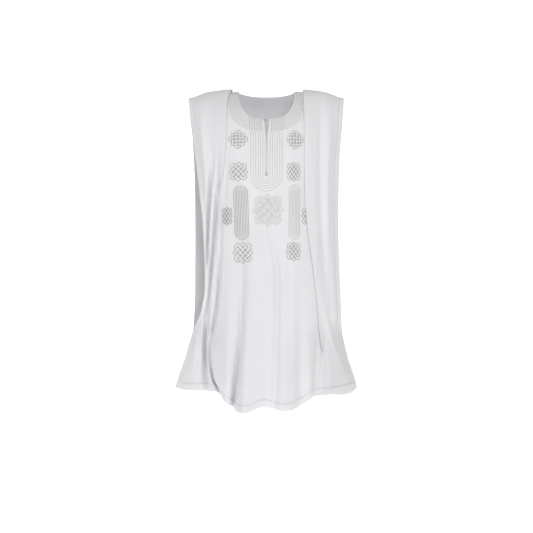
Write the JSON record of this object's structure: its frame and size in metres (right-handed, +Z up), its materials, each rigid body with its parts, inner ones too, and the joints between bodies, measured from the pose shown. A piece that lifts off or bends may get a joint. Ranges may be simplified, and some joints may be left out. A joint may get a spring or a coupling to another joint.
{
  "type": "grand boubou robe",
  "caption": "Wide grand boubou robe as worn: sleeve wings gathered in pleats on the shoulders, open sides, slit neck and corded embroidery with knots.",
  "frame": {"origin": "middle of the shoulder line, where the wearer's shoulders carry the robe", "axes": "+Z up, the wearer faces -Y, and the wearer's left hand is at +X"},
  "size_m": [0.6616, 0.3833, 1.1549],
  "materials": {
    "cloth": "white polished cotton damask with a soft sheen",
    "embroidery": "pale silver grey rayon thread in raised satin stitch"
  },
  "bodies": {
    "root": {"front_panel": "cloth", "back_panel": "cloth", "neck_band_left": "embroidery", "neck_band_right": "embroidery", "neck_band_back": "embroidery", "plastron": "embroidery", "oval_left": "embroidery", "oval_right": "embroidery", "knot_centre": "embroidery", "knot_upper_left": "embroidery", "knot_upper_right": "embroidery", "knot_second_left": "embroidery", "knot_second_right": "embroidery", "knot_side_left": "embroidery", "knot_side_right": "embroidery", "knot_lower_left": "embroidery", "knot_lower_right": "embroidery"}
  },
  "joints": []
}
